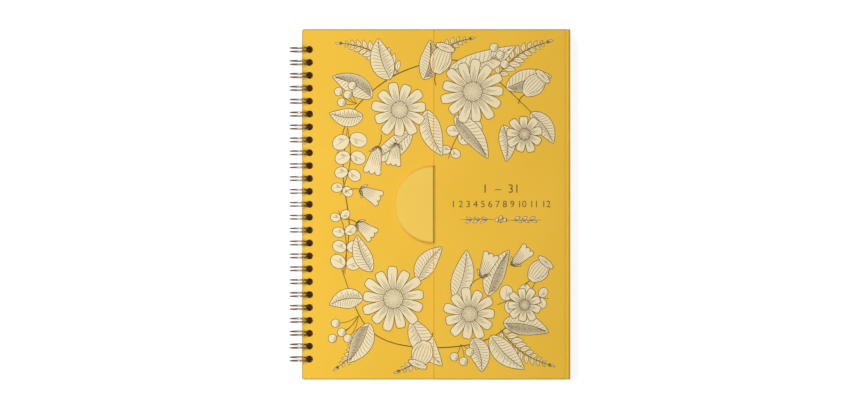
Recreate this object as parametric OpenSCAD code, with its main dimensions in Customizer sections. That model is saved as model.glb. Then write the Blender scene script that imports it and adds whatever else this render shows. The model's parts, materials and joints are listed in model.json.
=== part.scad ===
// Wire-bound calendar book with a wrap-around cover and a half-round closing tab.
// It lies on its back: bound edge to the left (-X), head to +Y, front cover up (+Z).
// The loops stand proud of the back cover, so the book leans from them to its fore edge.

/* [Binding] */
// Number of holes, and of double loops, along the bound edge
loop_count = 25; // [6:1:26]
// Distance from one hole to the next
hole_pitch = 8.467; // [8:0.001:8.8]
// Diameter of the binding holes
hole_d = 4.5; // [4.4:0.1:5]
// Distance from the bound edge to the hole centres
hole_inset = 4.9; // [4:0.1:5.2]
// Diameter of the binding wire
wire_d = 1; // [0.8:0.05:1.15]
// Outside diameter of the closed loops
loop_d = 14.7; // [14:0.1:16]
// Distance between the middles of the two strands of a loop
strand_pitch = 2.3; // [2:0.05:2.4]
// Radius of the bend from a strand into the link to the next loop
link_bend_r = 1.2; // [0.9:0.1:1.6]
// Clear gap between the tips of the closed loops and the bends of the links
seam_gap = 0.55; // [0.45:0.05:1.5]
// Radius of the small beads that join two stretches of wire, over that of the wire
bead_over = 0.05; // [0.04:0.01:0.1]
// Angle at which the strands end in their tips, counted from the fore edge upwards
tip_angle = 272; // [270:1:276]

/* [Covers] */
// Height of the covers, head to tail
cover_h = 230; // [224:1:300]
// Width of the front cover, bound edge to fore edge
cover_w = 173; // [140:1:220]
// Radius of the cover corners
corner_r = 1.5; // [0.6:0.1:4]
// Thickness of the grey board
board_t = 1.5; // [1.2:0.1:1.8]
// Thickness of the cover paper
paper_t = 0.2; // [0.12:0.01:0.25]
// Thickness of the lining sheets
lining_t = 0.15; // [0.1:0.01:0.2]
// Width of the cover paper that is folded in round the board edges
turn_in = 12; // [6:1:14]
// Margin between the cover edge and the lining sheet
lining_margin = 3; // [2:0.5:5]

/* [Wrap] */
// Width of the flap, from its free edge to the groove at the fore edge
flap_w = 85.8; // [60:0.1:110]
// Air gap between the front cover and the closed flap
flap_gap = 0.3; // [0.2:0.05:1]
// Clear space between the front cover and the fore-edge panel
fore_clear = 1.1; // [0.8:0.1:3]
// Width of the groove between two boards
groove_w = 1.3; // [1:0.1:2]
// Depth to which the paper is pressed into the fore-edge groove
groove_depth = 0.6; // [0.3:0.1:0.9]
// Width of the sloping sides of the fore-edge groove
groove_slope = 0.35; // [0.2:0.05:0.45]
// Clear gap where two papers meet at a fold
fold_clear = 0.05; // [0.03:0.01:0.1]
// Width of the paper folded in round the fore-edge board
edge_turn_in = 2.5; // [1.5:0.1:3.5]
// Margin between the fore-edge board and its lining
edge_margin = 1.5; // [1:0.1:3]

/* [Tab] */
// Radius of the half-round tab
tab_r = 25; // [18:0.5:32]
// Width of the cover paper folded in round the tab board
tab_turn_in = 5; // [3:0.5:6]
// Diameter of the two closing magnets
magnet_d = 10; // [6:0.5:12]
// Thickness of the closing magnets
magnet_t = 1; // [0.6:0.1:1.1]
// Distance from the straight edge of the tab to the middle of the magnets
magnet_inset = 12.5; // [11.5:0.5:13.5]

/* [Leaves] */
// Number of leaves, one for each month
leaf_count = 12; // [6:1:12]
// Width of a leaf
leaf_w = 169; // [120:1:172]
// Height of a leaf
leaf_h = 224; // [215:1:228]
// Thickness of a leaf
leaf_t = 0.3; // [0.2:0.02:0.32]
// Air gap between two leaves
leaf_gap = 0.15; // [0.1:0.01:0.17]
// Radius of the leaf corners
leaf_corner_r = 3; // [1:0.5:8]

/* [Hidden] */
$fn = 48;
// Overlap with which a cut runs past the face that it opens
cut_over = 1;

function leaf_name(k) = str("month_leaf_", k < 10 ? "0" : "", k);

// A cover is lining, folded-in paper, board and outer paper, from the inside out
board_z = lining_t + paper_t;
cover_t = board_z + board_t + paper_t;
leaf_pitch = leaf_t + leaf_gap;
stack_h = 2 * cover_t + leaf_count * leaf_pitch + leaf_gap;

// The book frame has its Y axis on the axis of the loops, and Z = 0 halfway up the stack
loop_r = loop_d / 2;
wire_r = wire_d / 2;
ring_r = loop_r - wire_r;
strand_near = sqrt(pow(ring_r, 2) - pow(stack_h / 2, 2));
hole_x = (strand_near + ring_r) / 2;
bound_x = hole_x - hole_inset;
function hole_y(n) = (n - (loop_count - 1) / 2) * hole_pitch;

back_z = -stack_h / 2;
front_z = stack_h / 2 - cover_t;
flap_z = stack_h / 2 + flap_gap;
flap_top_z = flap_z + cover_t;

// The fore-edge panel stands between the back cover's fold and the flap's fold
edge_in_x = bound_x + cover_w + fore_clear;
edge_out_x = edge_in_x + cover_t;
panel_right_x = edge_in_x - groove_w;
flap_left_x = panel_right_x - flap_w;
back_w = panel_right_x - bound_x;
edge_lift = paper_t + fold_clear;
edge_w = flap_top_z - back_z - 2 * edge_lift;

// Folds: a bead of paper on each axis, at the outer corners and at the foot of the tab groove
bead_r = paper_t / 2;
fold_h = cover_h - 2 * corner_r;
fold_x = edge_out_x - bead_r;
back_fold_z = back_z + bead_r;
flap_fold_z = flap_top_z - bead_r;
tab_fold_x = flap_left_x - groove_w / 2;
tab_fold_z = flap_z + lining_t + bead_r;
tab_right_x = flap_left_x - groove_w;
tab_fold_h = 2 * (tab_r - paper_t);
magnet_x = tab_right_x - magnet_inset;

// The loops end in tips at one side of the seam, and in links at the other side
tip_r = strand_pitch / 2;
bend_sum = tip_r + link_bend_r;
seam_len = sqrt(pow(bend_sum + wire_d + seam_gap, 2) - pow(bend_sum, 2));
foot_angle = tip_angle - 360 + seam_len / ring_r * 180 / PI;
link_len = hole_pitch - strand_pitch - 2 * link_bend_r;
stop_short = sqrt(pow(wire_r + bead_over, 2) - pow(wire_r, 2)) / 2;

// The lean brings the fore edge down to the height of the lowest point of the loops
lean = asin(loop_r / norm([fold_x, back_z])) - atan(-back_z / fold_x);
shift_x = (loop_r - edge_out_x) / 2;
function in_row(x, z) = [shift_x + x * cos(lean) + z * sin(lean), loop_r - x * sin(lean) + z * cos(lean)];

// Fold and loop axes in the part's frame, as X and Z in millimetres
echo(loop_axis = in_row(0, 0), back_fold = in_row(fold_x, back_fold_z));
echo(flap_fold = in_row(fold_x, flap_fold_z), tab_fold = in_row(tab_fold_x, tab_fold_z));
echo(flap_face = in_row(flap_left_x + flap_w / 2, flap_top_z), lean = lean);

// Middle line of two neighbouring loops, to measure the least gap of the wire to itself
function on_tangent(a, t, y) = [ring_r * cos(a) - t * sin(a), y, ring_r * sin(a) + t * cos(a)];
arc_steps = 60;
bend_steps = 8;
function strand(y, up) = [for (i = [0:arc_steps])
    let (f = up ? i / arc_steps : 1 - i / arc_steps)
    on_tangent(foot_angle + f * (tip_angle - foot_angle), 0, y)];
function tip(y) = [for (i = [1:bend_steps - 1])
    let (b = 180 * i / bend_steps)
    on_tangent(tip_angle, tip_r * sin(b), y - tip_r * cos(b))];
function link_bend(y, side) = [for (i = [1:bend_steps])
    let (b = 90 * i / bend_steps)
    on_tangent(foot_angle, -link_bend_r * sin(b), y + side * link_bend_r * (1 - cos(b)))];
function turned(list) = [for (i = [len(list) - 1:-1:0]) list[i]];
function loop_line(y) = concat(
    turned(link_bend(y - tip_r, -1)), strand(y - tip_r, true), tip(y),
    strand(y + tip_r, false), link_bend(y + tip_r, 1));
wire_line = concat(loop_line(0), loop_line(hole_pitch));
function along(list, i = 0, sum = 0, out = []) = i == len(list) ? out :
    along(list, i + 1, sum + (i == 0 ? 0 : norm(list[i] - list[i - 1])), concat(out, [
        sum + (i == 0 ? 0 : norm(list[i] - list[i - 1]))]));
wire_run = along(wire_line);
// Two points count as neighbours on the wire while the run between them is under a tip's half turn
near_run = PI * max(tip_r, link_bend_r) + wire_d;
wire_gap = min([for (i = [0:len(wire_line) - 1]) for (j = [i + 1:1:len(wire_line) - 1])
    if (wire_run[j] - wire_run[i] > near_run) norm(wire_line[j] - wire_line[i])]) - wire_d;
echo(least_gap_of_the_wire_to_itself = wire_gap);

module in_book() {
    translate([shift_x, 0, loop_r])
        rotate([0, lean, 0])
            children();
}

// Panel frames: the panel's middle at the origin, its inner face at Z = 0, its outer face up
module at_front() {
    in_book()
        translate([bound_x + cover_w / 2, 0, front_z])
            children();
}

module at_back() {
    in_book()
        translate([bound_x + back_w / 2, 0, back_z + cover_t])
            mirror([0, 0, 1])
                children();
}

module at_flap() {
    in_book()
        translate([flap_left_x + flap_w / 2, 0, flap_z])
            children();
}

module at_edge() {
    in_book()
        translate([edge_in_x, 0, (back_z + flap_top_z) / 2])
            rotate([0, 90, 0])
                children();
}

// The tab's frame has its straight edge on the Y axis
module at_tab() {
    in_book()
        translate([tab_right_x, 0, flap_z])
            children();
}

module rounded_rect(w, h, r) {
    square([w - 2 * r, h], center = true);
    square([w, h - 2 * r], center = true);
    for (sx = [-1, 1]) {
        for (sy = [-1, 1])
            translate([sx * (w / 2 - r), sy * (h / 2 - r)])
                circle(r);
    }
}

module half_round(inset) {
    difference() {
        circle(tab_r - inset);
        translate([-inset, -tab_r])
            square([tab_r, 2 * tab_r]);
    }
}

// A row of binding holes, in a panel that is w wide
module binding_holes(w) {
    for (n = [0:loop_count - 1])
        translate([hole_inset - w / 2, hole_y(n), -cut_over])
            cylinder(d = hole_d, h = cover_t + 2 * cut_over);
}

module board_slab(w, h) {
    translate([0, 0, board_z])
        linear_extrude(board_t)
            rounded_rect(w - 2 * paper_t, h - 2 * paper_t, corner_r - paper_t);
}

module lining_sheet(w, h, margin) {
    linear_extrude(lining_t)
        rounded_rect(w - 2 * margin, h - 2 * margin, corner_r);
}

// Paper round a board: outer face, edges, and a rim folded in on the inner face
module paper_wrap(w, h, fold_in) {
    difference() {
        translate([0, 0, lining_t])
            linear_extrude(cover_t - lining_t)
                rounded_rect(w, h, corner_r);
        board_slab(w, h);
        translate([0, 0, lining_t - cut_over])
            linear_extrude(paper_t + cut_over)
                rounded_rect(w - 2 * fold_in, h - 2 * fold_in, corner_r);
    }
}

module fold_bead(x, z, h) {
    translate([x, 0, z])
        rotate([90, 0, 0])
            cylinder(r = bead_r, h = h, center = true);
}

// A strip of paper with the given outline in X and Z, along a fold of length h
module fold_strip(points, h) {
    rotate([90, 0, 0])
        linear_extrude(h, center = true)
            polygon(points);
}

module at_loop(n, a) {
    translate([0, hole_y(n), 0])
        rotate([0, -a, 0])
            translate([ring_r, 0, 0])
                rotate(a = 120, v = [1, 1, 1])
                    children();
}

// In an at_loop frame X runs along the binding, Y along the strand and Z out of the loop.
// A stretch of wire stops short inside the bead that joins it to the next stretch.
// The poles of a bead lie on the wire, so each stretch leaves it round a pole.
along_strand = [90, 0, 0];
along_link = [0, 90, 0];
module wire_bend(r, a, sweep) {
    short = stop_short / r * 180 / PI;
    rotate([0, 0, a + short])
        rotate_extrude(angle = sweep - 2 * short)
            translate([r, 0])
                circle(r = wire_r);
}

module wire_bead(x, y, poles) {
    translate([x, y, 0])
        rotate(poles)
            sphere(r = wire_r + bead_over);
}

module wire_strand(y) {
    translate([0, y, 0])
        rotate([90, 0, 0])
            wire_bend(ring_r, foot_angle, tip_angle - foot_angle);
}

module wire_tip(n) {
    at_loop(n, tip_angle) {
        wire_bend(tip_r, 0, 180);
        for (side = [-1, 1])
            wire_bead(side * tip_r, 0, along_strand);
    }
}

// A link leads from the second strand of one loop to the first strand of the next
module wire_link(n) {
    at_loop(n, foot_angle) {
        wire_bead(tip_r, 0, along_strand);
        translate([bend_sum, 0, 0])
            wire_bend(link_bend_r, 180, 90);
        wire_bead(bend_sum, -link_bend_r, along_link);
        translate([bend_sum + stop_short, -link_bend_r, 0])
            rotate([0, 90, 0])
                cylinder(r = wire_r, h = link_len - 2 * stop_short);
        wire_bead(hole_pitch - bend_sum, -link_bend_r, along_link);
        translate([hole_pitch - bend_sum, 0, 0])
            wire_bend(link_bend_r, 270, 90);
        wire_bead(hole_pitch - tip_r, 0, along_strand);
    }
}

module binding_wire() {
    color("#3b2416")
        in_book() {
            for (n = [0:loop_count - 1]) {
                wire_strand(hole_y(n) - tip_r);
                wire_strand(hole_y(n) + tip_r);
                wire_tip(n);
            }
            for (n = [0:1:loop_count - 2])
                wire_link(n);
        }
}

module back_board() {
    color("#9a9488")
        at_back()
            difference() {
                board_slab(back_w, cover_h);
                binding_holes(back_w);
            }
}

// The back cover's paper runs on past its board to the fold at the fore edge
module back_paper() {
    lip_x = back_w / 2;
    lip_end = fold_x - bound_x - back_w / 2;
    color("#efc047")
        at_back() {
            difference() {
                paper_wrap(back_w, cover_h, turn_in);
                binding_holes(back_w);
            }
            fold_strip([[lip_x, cover_t - paper_t], [lip_end, cover_t - paper_t],
                        [lip_end, cover_t], [lip_x, cover_t]], fold_h);
            fold_bead(lip_end, cover_t - bead_r, fold_h);
        }
}

module back_lining() {
    color("#f3ead2")
        at_back()
            difference() {
                lining_sheet(back_w, cover_h, lining_margin);
                binding_holes(back_w);
            }
}

module edge_board() {
    color("#9a9488")
        at_edge()
            board_slab(edge_w, cover_h);
}

module edge_paper() {
    color("#e3b540")
        at_edge()
            paper_wrap(edge_w, cover_h, edge_turn_in);
}

module edge_lining() {
    color("#f3ead2")
        at_edge()
            lining_sheet(edge_w, cover_h, edge_margin);
}

module flap_board() {
    color("#9a9488")
        at_flap()
            board_slab(flap_w, cover_h);
}

// The flap's paper dips into the fore-edge groove, crosses the top of the fore-edge panel and
// ends at the fold. At the tab it runs down into the tab groove.
module flap_paper() {
    right = flap_w / 2;
    far = right + groove_w;
    fold = fold_x - flap_left_x - flap_w / 2;
    low = cover_t - groove_depth;
    color("#efc047")
        at_flap() {
            paper_wrap(flap_w, cover_h, turn_in);
            fold_strip([[right, cover_t], [right, cover_t - paper_t],
                        [right + groove_slope, low - paper_t], [far - groove_slope, low - paper_t],
                        [far, cover_t - paper_t], [fold, cover_t - paper_t], [fold, cover_t],
                        [far, cover_t], [far - groove_slope, low], [right + groove_slope, low]], fold_h);
            fold_bead(fold, cover_t - bead_r, fold_h);
            fold_strip([[-right, lining_t], [-right, board_z],
                        [-right - groove_w / 2, board_z], [-right - groove_w / 2, lining_t]], tab_fold_h);
            fold_bead(-right - groove_w / 2, lining_t + bead_r, tab_fold_h);
        }
}

module flap_lining() {
    color("#f3ead2")
        at_flap()
            lining_sheet(flap_w, cover_h, lining_margin);
}

module tab_slab() {
    translate([0, 0, board_z])
        linear_extrude(board_t)
            half_round(paper_t);
}

module tab_board() {
    color("#9a9488")
        at_tab()
            difference() {
                tab_slab();
                translate([-magnet_inset, 0, board_z - cut_over])
                    cylinder(d = magnet_d, h = magnet_t + cut_over);
            }
}

module tab_paper() {
    lip_end = groove_w / 2 - bead_r - fold_clear;
    color("#f2c75e")
        at_tab() {
            difference() {
                translate([0, 0, lining_t])
                    linear_extrude(cover_t - lining_t)
                        half_round(0);
                tab_slab();
                translate([0, 0, lining_t - cut_over])
                    linear_extrude(paper_t + cut_over)
                        half_round(tab_turn_in);
            }
            fold_strip([[0, lining_t], [lip_end, lining_t], [lip_end, board_z], [0, board_z]], tab_fold_h);
        }
}

module tab_lining() {
    color("#f3ead2")
        at_tab()
            linear_extrude(lining_t)
                half_round(lining_margin);
}

module tab_magnet() {
    color("#c9c9c9")
        at_tab()
            translate([-magnet_inset, 0, board_z])
                cylinder(d = magnet_d, h = magnet_t);
}

module front_board() {
    color("#9a9488")
        at_front()
            difference() {
                board_slab(cover_w, cover_h);
                binding_holes(cover_w);
                front_magnet_seat(cut_over);
            }
}

// The front magnet lies under the outer paper, below the tab's magnet
module front_magnet_seat(over) {
    translate([magnet_x - bound_x - cover_w / 2, 0, cover_t - paper_t - magnet_t])
        cylinder(d = magnet_d, h = magnet_t + over);
}

module front_paper() {
    color("#efc047")
        at_front()
            difference() {
                paper_wrap(cover_w, cover_h, turn_in);
                binding_holes(cover_w);
            }
}

module front_lining() {
    color("#f3ead2")
        at_front()
            difference() {
                lining_sheet(cover_w, cover_h, lining_margin);
                binding_holes(cover_w);
            }
}

module front_magnet() {
    color("#c9c9c9")
        at_front()
            front_magnet_seat(0);
}

// Leaves are counted from the top: the first month lies under the front cover
module month_leaf(k) {
    color("#fbf6e6")
        in_book()
            translate([bound_x + leaf_w / 2, 0, front_z - k * leaf_pitch])
                difference() {
                    linear_extrude(leaf_t)
                        rounded_rect(leaf_w, leaf_h, leaf_corner_r);
                    binding_holes(leaf_w);
                }
}

binding_wire();
back_board();
back_paper();
back_lining();
edge_board();
edge_paper();
edge_lining();
flap_board();
flap_paper();
flap_lining();
tab_board();
tab_paper();
tab_lining();
tab_magnet();
front_board();
front_paper();
front_lining();
front_magnet();
for (k = [1:leaf_count])
    month_leaf(k);
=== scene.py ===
# %% [markdown]
# # A wire-bound calendar in a wrap-around cover
# The object is a book of month leaves between hard covers, held by one twin-loop wire. Its back
# cover goes on round the fore edge and over the front cover as a flap, which ends in a half-round
# tab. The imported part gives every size, joint and place. This script dresses it: rounded
# paper-covered boards, a drawn wire, a printed garland, ruled leaves, and a plain white studio.

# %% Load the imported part
import json
import math

import bmesh
import bpy
import numpy as np
from mathutils import Matrix, Vector


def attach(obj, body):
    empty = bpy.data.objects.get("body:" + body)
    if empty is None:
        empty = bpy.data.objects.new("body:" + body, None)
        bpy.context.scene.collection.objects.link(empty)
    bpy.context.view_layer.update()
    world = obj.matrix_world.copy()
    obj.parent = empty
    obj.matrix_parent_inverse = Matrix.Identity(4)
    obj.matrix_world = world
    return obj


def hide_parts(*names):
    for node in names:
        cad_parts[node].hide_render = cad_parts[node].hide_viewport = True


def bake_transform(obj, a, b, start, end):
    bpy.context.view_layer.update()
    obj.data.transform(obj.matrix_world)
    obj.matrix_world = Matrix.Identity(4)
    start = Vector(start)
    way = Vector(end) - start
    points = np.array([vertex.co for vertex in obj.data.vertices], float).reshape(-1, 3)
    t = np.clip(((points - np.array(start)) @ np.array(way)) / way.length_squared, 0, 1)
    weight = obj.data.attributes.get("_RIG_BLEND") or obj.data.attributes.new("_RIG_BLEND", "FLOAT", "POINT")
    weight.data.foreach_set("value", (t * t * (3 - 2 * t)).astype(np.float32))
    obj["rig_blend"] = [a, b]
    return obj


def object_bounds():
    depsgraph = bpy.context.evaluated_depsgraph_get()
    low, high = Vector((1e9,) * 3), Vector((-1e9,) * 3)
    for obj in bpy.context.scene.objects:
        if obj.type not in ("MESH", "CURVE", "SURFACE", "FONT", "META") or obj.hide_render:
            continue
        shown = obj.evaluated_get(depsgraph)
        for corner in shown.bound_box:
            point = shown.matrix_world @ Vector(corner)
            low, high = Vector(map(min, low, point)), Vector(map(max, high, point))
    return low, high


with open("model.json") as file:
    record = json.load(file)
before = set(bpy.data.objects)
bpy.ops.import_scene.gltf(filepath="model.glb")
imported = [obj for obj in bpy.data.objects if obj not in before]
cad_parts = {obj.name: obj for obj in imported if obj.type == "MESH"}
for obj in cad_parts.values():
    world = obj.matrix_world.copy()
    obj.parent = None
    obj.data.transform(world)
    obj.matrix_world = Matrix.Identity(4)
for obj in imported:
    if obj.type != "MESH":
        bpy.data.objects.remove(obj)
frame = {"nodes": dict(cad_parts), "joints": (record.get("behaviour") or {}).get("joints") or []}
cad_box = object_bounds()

MM = 0.001
print("nodes in the frame:", len(frame["nodes"]))

# %% [markdown]
# ## The book's own frame
# The loops stand proud of the back cover, so the whole book leans a little from them to its fore
# edge. All pieces are built in a level frame, with its Y axis on the axis of the loops, and one
# matrix then lays them on the slope. The two folds at the fore edge stand straight above each other
# on the book, so the line between them gives the lean.

# %% Book frame and sizes
joints = {joint["name"]: joint for joint in frame["joints"]}


def joint_point(name):
    return Vector(joints[name]["pos_m"])


loop_axis = joint_point("front_cover_turn")
rise = joint_point("flap_fold") - joint_point("fore_edge_fold")
lean = math.atan2(rise.x, rise.z)
book = Matrix.Translation(loop_axis) @ Matrix.Rotation(lean, 4, "Y")
level = book.inverted()


def span(node):
    """Lowest and highest corner of a CAD node in the book frame."""
    points = np.array([level @ vertex.co for vertex in frame["nodes"][node].data.vertices])
    return Vector(points.min(axis=0)), Vector(points.max(axis=0))


front_lo, front_hi = span("front_paper")
back_lo, back_hi = span("back_paper")
flap_lo, flap_hi = span("flap_paper")
edge_lo, edge_hi = span("edge_paper")
tab_lo, tab_hi = span("tab_paper")
paper_t = front_hi.z - span("front_board")[1].z
flap_left = span("flap_board")[0].x - paper_t
flap_right = span("flap_board")[1].x + paper_t
back_right = span("back_board")[1].x + paper_t
tab_right = span("tab_board")[1].x + paper_t
fold_x = (level @ joint_point("flap_fold")).x
tab_fold = level @ joint_point("tab_fold")
print("lean in degrees:", round(math.degrees(lean), 3))
print("front cover in mm:", [round(size / MM, 1) for size in front_hi - front_lo])

# %% [markdown]
# ## Camera
# The photograph looks straight down, and the book keeps its true outline, so the camera hangs far
# above it with a long lens. The frame's width follows from the pitch of the binding holes, which is
# a standard size, and from the number of pixels between two holes.

# %% Camera
PHOTO_W = 860
PHOTO_H = 410
HOLE_PITCH = 8.467 * MM
HOLE_PITCH_PX = 12.899
COVER_LEFT_PX = 302.0
BOOK_MIDDLE_PX = 204.35
CAMERA_HEIGHT = 4.0
SENSOR = 36.0


def add_object(name, data):
    """A new object in the scene."""
    item = bpy.data.objects.new(name, data)
    bpy.context.collection.objects.link(item)
    return item


pixel = HOLE_PITCH / HOLE_PITCH_PX
cover_left = book @ Vector((front_lo.x, 0, front_hi.z))
camera_data = bpy.data.cameras.new("camera")
camera_data.sensor_width = SENSOR
camera_data.lens = SENSOR * (CAMERA_HEIGHT - cover_left.z) / (PHOTO_W * pixel)
camera = add_object("camera", camera_data)
camera.location = (cover_left.x + (PHOTO_W / 2 - COVER_LEFT_PX) * pixel,
                   (BOOK_MIDDLE_PX - PHOTO_H / 2) * pixel, CAMERA_HEIGHT)
bpy.context.scene.camera = camera
print("lens:", round(camera_data.lens, 1), "camera at", [round(c, 4) for c in camera.location])

# %% [markdown]
# ## Shared effects
# Two effects turn up in most finishes here. Paper has tooth: fine fibres that catch the light, and
# a slow cloudiness from one patch to the next. Folded and handled edges carry a mark: on paper it is
# a darker tint, partly soil and partly painted shade on the rims, in grooves and at folds, and on
# the wire it is a painted highlight on the tops of the loops. Each effect is a node group that puts
# out masks and heights, and every material mixes its own colours with them.

# %% Node groups


def new_group(name, inputs, outputs):
    """An empty shader node group with float sockets. Its inputs come with their defaults."""
    group = bpy.data.node_groups.new(name, "ShaderNodeTree")
    for label, default in inputs.items():
        socket = group.interface.new_socket(label, in_out="INPUT", socket_type="NodeSocketFloat")
        socket.default_value = default
    for label in outputs:
        group.interface.new_socket(label, in_out="OUTPUT", socket_type="NodeSocketFloat")
    return group, group.nodes.new("NodeGroupInput"), group.nodes.new("NodeGroupOutput")


def feed(tree, slots, values):
    """Links inputs to sockets, or sets them to plain values."""
    for label, value in dict(values).items():
        if isinstance(value, bpy.types.NodeSocket):
            tree.links.new(value, slots[label])
        else:
            slots[label].default_value = value


def add_node(tree, kind, values=(), **settings):
    """A new shader node with these settings and inputs. It gives the node's outputs."""
    node = tree.nodes.new("ShaderNode" + kind)
    for label, setting in settings.items():
        setattr(node, label, setting)
    feed(tree, node.inputs, values)
    return node.outputs


def math_node(tree, operation, *values):
    """A math node fed by sockets or numbers, and its output socket."""
    return add_node(tree, "Math", enumerate(values), operation=operation)[0]


def noise_node(tree, scale, detail, roughness):
    """Noise in object space, where one unit is a metre, and its factor socket."""
    place = add_node(tree, "TexCoord")["Object"]
    values = {"Vector": place, "Scale": scale, "Detail": detail, "Roughness": roughness}
    return add_node(tree, "TexNoise", values)["Fac"]


def make_paper_tooth():
    """Fibre grain and slow clouds."""
    group, entry, leave = new_group(
        "paper_tooth", {"Grain": 2200.0, "Cloud": 22.0, "Cloud share": 0.5}, ["Shade", "Height"])
    grain = noise_node(group, entry.outputs["Grain"], 3.0, 0.6)
    cloud = noise_node(group, entry.outputs["Cloud"], 2.0, 0.5)
    cloud_part = math_node(group, "MULTIPLY", cloud, entry.outputs["Cloud share"])
    grain_share = math_node(group, "SUBTRACT", 1.0, entry.outputs["Cloud share"])
    grain_part = math_node(group, "MULTIPLY", grain, grain_share)
    shade = math_node(group, "ADD", cloud_part, grain_part)
    feed(group, leave.inputs, {"Shade": shade, "Height": grain})
    return group


def make_edge_soil():
    """The edge mark: the mesh's own value of wear and painted light, made uneven by noise."""
    group, entry, leave = new_group(
        "edge_soil_and_light", {"Strength": 1.0, "Patch": 260.0, "Uneven": 0.3}, ["Soil_and_painted_light"])
    edge = add_node(group, "Attribute", attribute_name="wear_and_painted_light")["Fac"]
    patches = noise_node(group, entry.outputs["Patch"], 4.0, 0.7)
    missing = math_node(group, "MULTIPLY", patches, entry.outputs["Uneven"])
    left_over = math_node(group, "SUBTRACT", 1.0, missing)
    uneven_soil_and_light = math_node(group, "MULTIPLY", edge, left_over)
    soil_and_painted_light = math_node(group, "MULTIPLY", uneven_soil_and_light, entry.outputs["Strength"])
    feed(group, leave.inputs, {"Soil_and_painted_light": soil_and_painted_light})
    return group


paper_tooth = make_paper_tooth()
edge_soil_and_light = make_edge_soil()
print("node groups:", [group.name for group in bpy.data.node_groups])

# %% [markdown]
# ## Finishes
# Colours are picked as screen values and turned into the linear values that a shader works in. Each
# finish mixes a darker and a lighter tone by the tooth's shade, so no surface is one flat colour.
# The wire and the magnets are made the same way, with metal in place of paper.

# %% Finishes
SHADE_SPAN = (0.3, 0.7)
TOOTH_HEIGHT = 0.06 * MM


def linear(colour):
    """A screen colour, 0 to 255, as a linear colour with alpha."""
    shares = [value / 255 for value in colour]
    return (*(share / 12.92 if share <= 0.04045 else ((share + 0.055) / 1.055) ** 2.4
              for share in shares), 1.0)


def mix_colour(tree, factor, first, second):
    """A colour mix whose ends are colours or sockets, and its output socket."""
    return add_node(tree, "Mix", {"Factor": factor, 6: first, 7: second}, data_type="RGBA")[2]


def map_range(tree, *values):
    """Maps a value from one span of numbers to another: the value, then both spans' ends."""
    return add_node(tree, "MapRange", enumerate(values))["Result"]


def paper_finish(name, dark, light, rough=(0.62, 0.74), grain=2200.0, cloud=22.0,
                 cloud_share=0.5, tooth_depth=0.25, gloss=0.14, metal=0.0,
                 soil_and_painted_light=None, soil_and_light_strength=1.0, soil_and_light_patch=260.0):
    """A finish of two tones with tooth, with edges in the given edge colour: soil and painted light."""
    material = bpy.data.materials.new(name)
    material.use_nodes = True
    tree = material.node_tree
    values = {"Grain": grain, "Cloud": cloud, "Cloud share": cloud_share}
    tooth = add_node(tree, "Group", values, node_tree=paper_tooth)
    shade = map_range(tree, tooth["Shade"], *SHADE_SPAN, 0.0, 1.0)
    colour = mix_colour(tree, shade, linear(dark), linear(light))
    if soil_and_painted_light:
        values = {"Strength": soil_and_light_strength, "Patch": soil_and_light_patch}
        wear_and_light_group = add_node(tree, "Group", values, node_tree=edge_soil_and_light)
        colour = mix_colour(tree, wear_and_light_group["Soil_and_painted_light"], colour, linear(soil_and_painted_light))
    values = {"Strength": tooth_depth, "Distance": TOOTH_HEIGHT, "Height": tooth["Height"]}
    feed(tree, tree.nodes["Principled BSDF"].inputs, {
        "Base Color": colour, "Metallic": metal, "Specular IOR Level": gloss,
        "Roughness": map_range(tree, tooth["Shade"], *SHADE_SPAN, *rough),
        "Normal": add_node(tree, "Bump", values)["Normal"]})
    return material


# The cover's dark olive edge colour is soil with painted shade on rims, folds and grooves.
cover_finish = paper_finish("cover_paper", (240, 190, 56), (246, 197, 68), soil_and_painted_light=(164, 130, 46))
# The tab is a lighter copy of the cover paper: a painted sheen. Its edges take a weaker mark of soil and
# painted shade, which outlines it.
tab_sheen_finish = paper_finish("tab_paper", (243, 199, 80), (248, 207, 100), soil_and_painted_light=(168, 136, 56),
                          soil_and_light_strength=0.55)
cream_finish = paper_finish("cream_ink", (238, 220, 176), (246, 230, 190), cloud_share=0.35)
gold_finish = paper_finish("gold_ink", (240, 192, 60), (246, 202, 80), cloud_share=0.35)
pen_finish = paper_finish("pen_line", (96, 72, 36), (120, 92, 50), cloud_share=0.3)
leaf_finish = paper_finish("leaf_paper", (226, 219, 198), (238, 232, 212), rough=(0.7, 0.85),
                           grain=1500.0, tooth_depth=0.35)
lining_finish = paper_finish("lining_paper", (222, 208, 172), (233, 220, 187), rough=(0.68, 0.8),
                             grain=1300.0, tooth_depth=0.4)
board_finish = paper_finish("grey_board", (146, 140, 128), (172, 166, 152), rough=(0.85, 0.95),
                            grain=700.0, cloud_share=0.3, tooth_depth=0.6)
# The wire's lighter edge colour is a painted highlight on the tops of the loops.
bronze_finish = paper_finish("bronze_wire", (88, 70, 50), (112, 90, 66), rough=(0.2, 0.3),
                             grain=1800.0, cloud=160.0, tooth_depth=0.0, gloss=0.5, metal=1.0,
                             soil_and_painted_light=(172, 153, 124), soil_and_light_patch=900.0)
magnet_finish = paper_finish("nickel_plate", (186, 186, 184), (206, 206, 204),
                             rough=(0.22, 0.34), metal=1.0)
print("finishes:", [material.name for material in bpy.data.materials if material.use_nodes])

# %% [markdown]
# ## Paper-covered boards
# A hard cover is a board with paper wrapped round its edges, so every edge is softly rounded. A
# bevel modifier on a plate with many holes leaves untidy corners, so each outline and each hole is
# drawn as a loop of points instead. An outline runs counter-clockwise and a hole clockwise, so the
# board lies to the left of both, and one function finds the way into the board.

# %% Outlines
HOLE_POINTS = 28
CORNER_POINTS = 7


def arc(middle, radius, start, stop, count):
    """Points on an arc, with angles in degrees."""
    angles = np.radians(np.linspace(start, stop, count))
    return [Vector((middle[0] + radius * math.cos(a), middle[1] + radius * math.sin(a)))
            for a in angles]


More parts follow.
